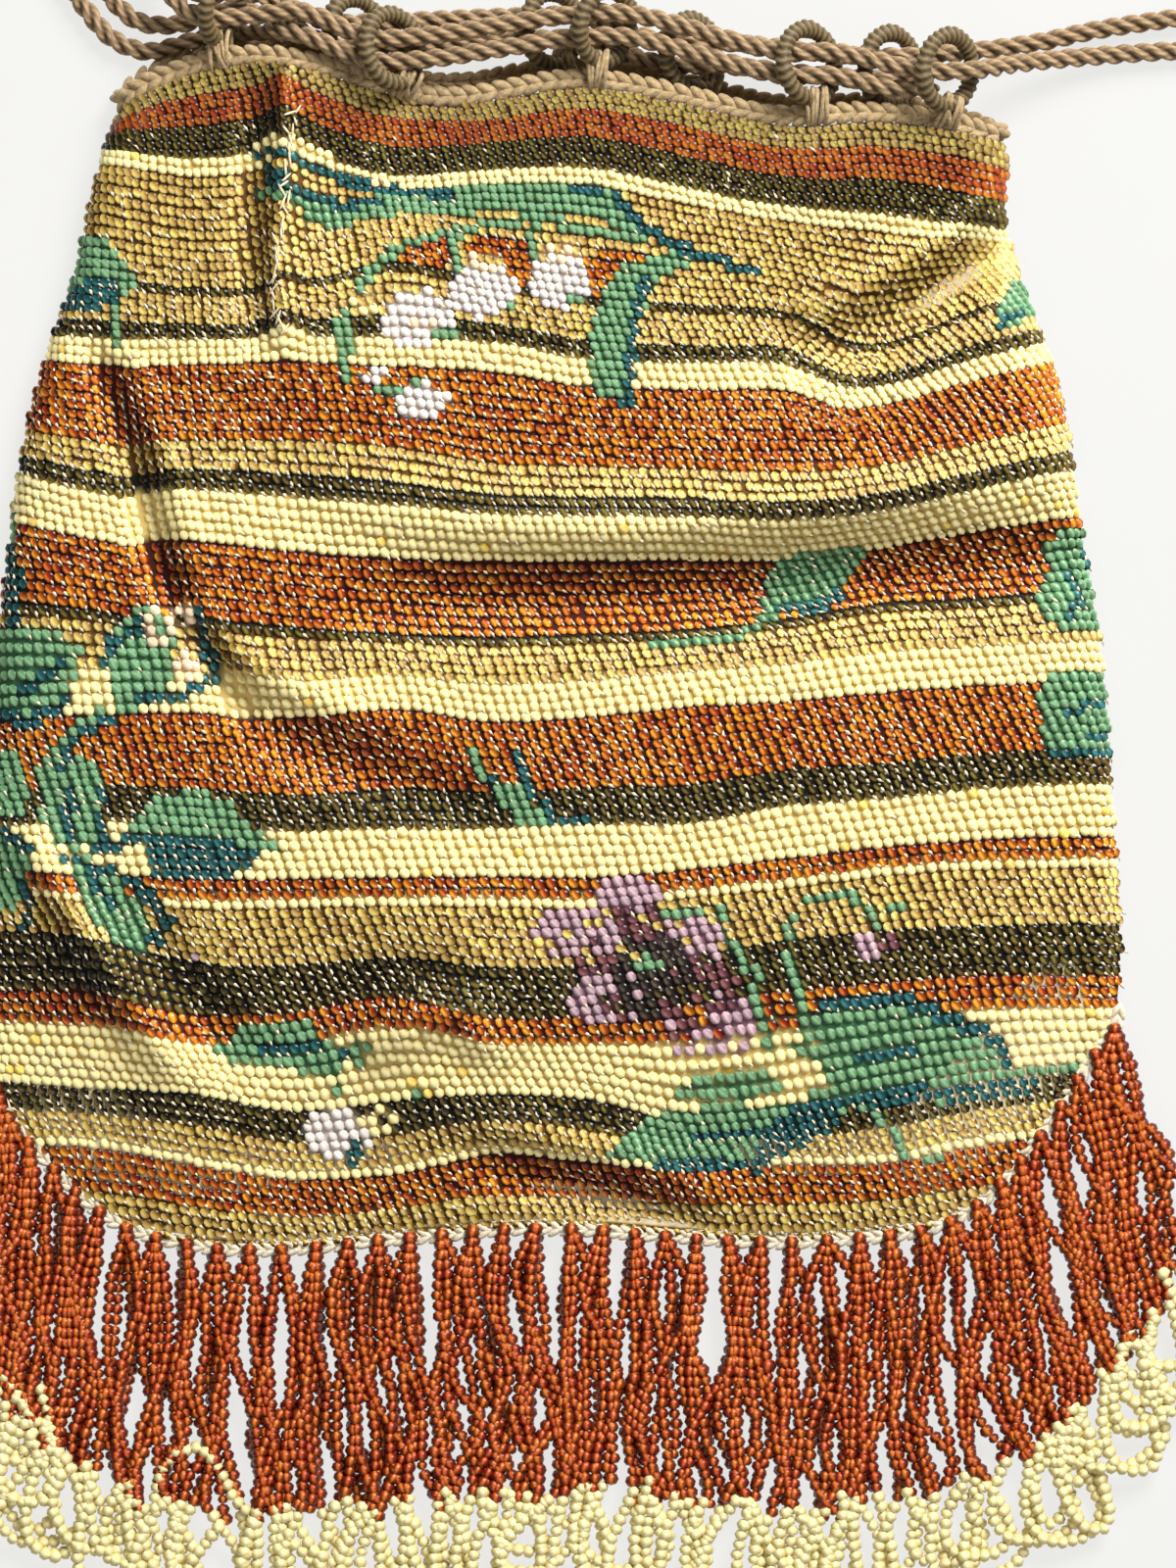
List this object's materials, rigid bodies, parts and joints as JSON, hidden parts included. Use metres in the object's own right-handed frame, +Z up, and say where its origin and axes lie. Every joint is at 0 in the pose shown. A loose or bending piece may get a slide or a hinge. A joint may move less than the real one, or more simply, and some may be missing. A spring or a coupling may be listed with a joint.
{
  "type": "beaded drawstring purse",
  "caption": "Soft bead-knitted drawstring purse lying flat, with striped leaf and flower pattern, ringed mouth, twisted cords and a fringe of bead loops.",
  "frame": {"origin": "under the middle of the purse, on the surface that it lies on, measured without the drawstrings", "axes": "+Y towards the mouth, +X to the right as seen in front of the purse, +Z up from the surface"},
  "size_m": [0.2202, 0.2883, 0.0169],
  "materials": {
    "bead_cloth": "knitted glass beads in gold, rust, brown and cream stripes",
    "crochet_thread": "crocheted taupe thread",
    "covered_ring": "buttonhole stitched olive thread over a ring",
    "twisted_cord": "twisted taupe cord",
    "fringe_beads": "strung rust beads with pale loops at the ends"
  },
  "bodies": {
    "root": {"bag": "bead_cloth", "mouth_edging": "crochet_thread", "ring_left": "covered_ring", "ring_right": "covered_ring", "ring_front_1": "covered_ring", "ring_front_2": "covered_ring", "ring_front_3": "covered_ring", "ring_back_1": "covered_ring", "ring_back_2": "covered_ring", "ring_back_3": "covered_ring", "ring_back_4": "covered_ring", "drawstring_left": "twisted_cord", "drawstring_right": "twisted_cord", "fringe": "fringe_beads"}
  },
  "joints": []
}
